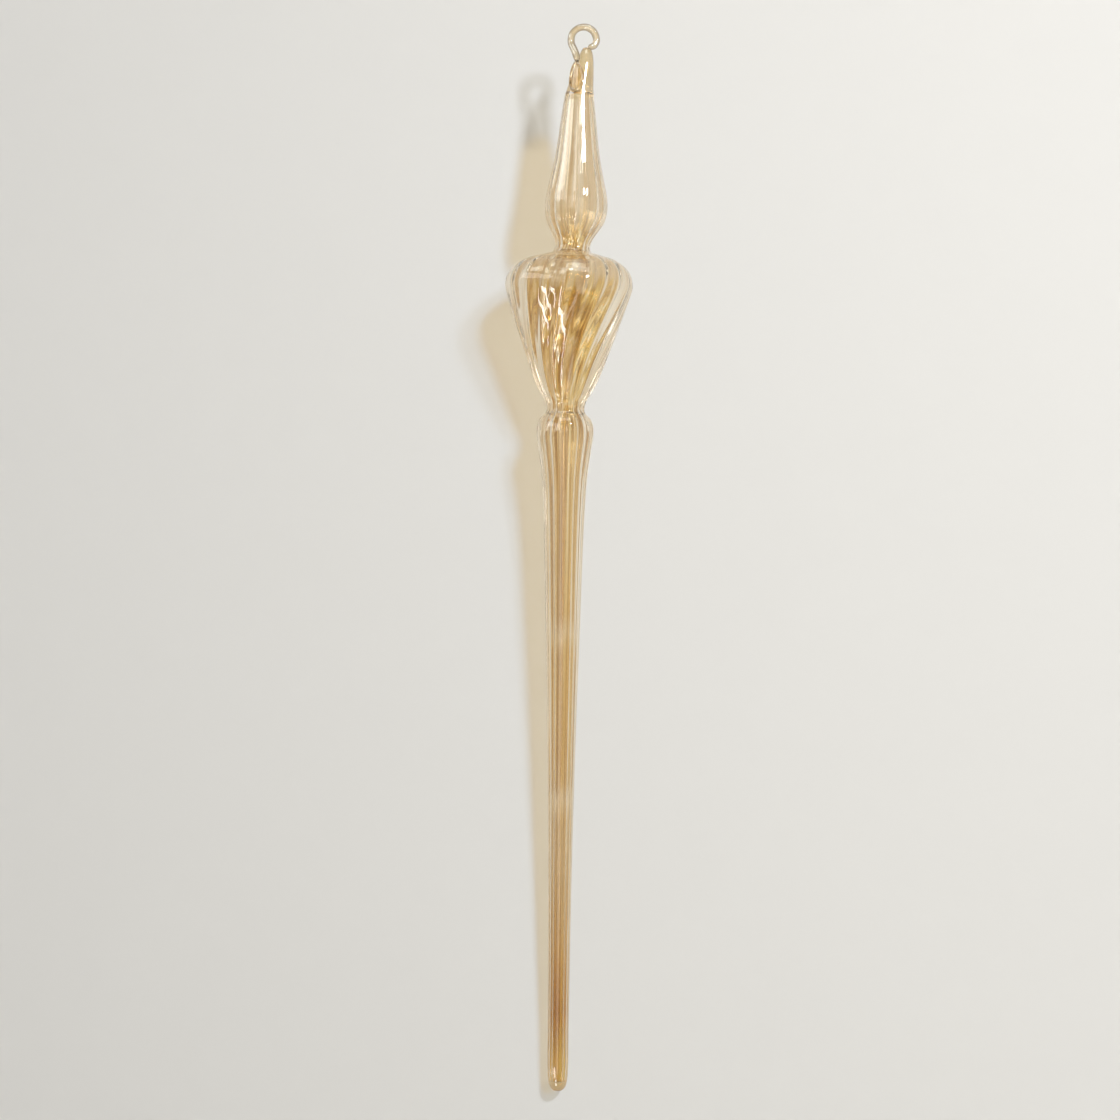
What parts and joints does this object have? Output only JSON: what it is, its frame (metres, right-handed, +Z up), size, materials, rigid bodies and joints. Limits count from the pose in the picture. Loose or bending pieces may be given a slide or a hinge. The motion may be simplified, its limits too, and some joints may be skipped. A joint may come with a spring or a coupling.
{
  "type": "icicle hanging ornament",
  "caption": "Slender mouth-blown amber glass icicle with a curled hook, a drop-shaped finial, a twisted-rib bulb and a long tapering ribbed stem.",
  "frame": {"origin": "top of the inside of the hook's eye, the point that bears on a thread or branch", "axes": "+Z up against gravity when it hangs, with the sealed tip straight below the origin; +X to the viewer's right, along the plane of the hook's eye; +Y away from the viewer, with the hook's pad on the -Y side"},
  "size_m": [0.0358, 0.0358, 0.2986],
  "materials": {
    "hook_glass": "clear champagne glass rod, fire-polished",
    "solid_glass": "solid champagne glass, fire-polished",
    "waist_glass": "champagne glass, fire-polished and lustred",
    "blown_glass": "thick clear glass with mould ribs, and an amber luster inside the bore"
  },
  "bodies": {
    "root": {"hook_loop": "hook_glass", "hook_pad": "hook_glass", "finial_crown": "solid_glass", "finial_shell": "blown_glass", "upper_waist": "waist_glass", "bulb_shell": "blown_glass", "lower_waist": "waist_glass", "stem_shell": "blown_glass", "stem_tip": "solid_glass"}
  },
  "joints": []
}
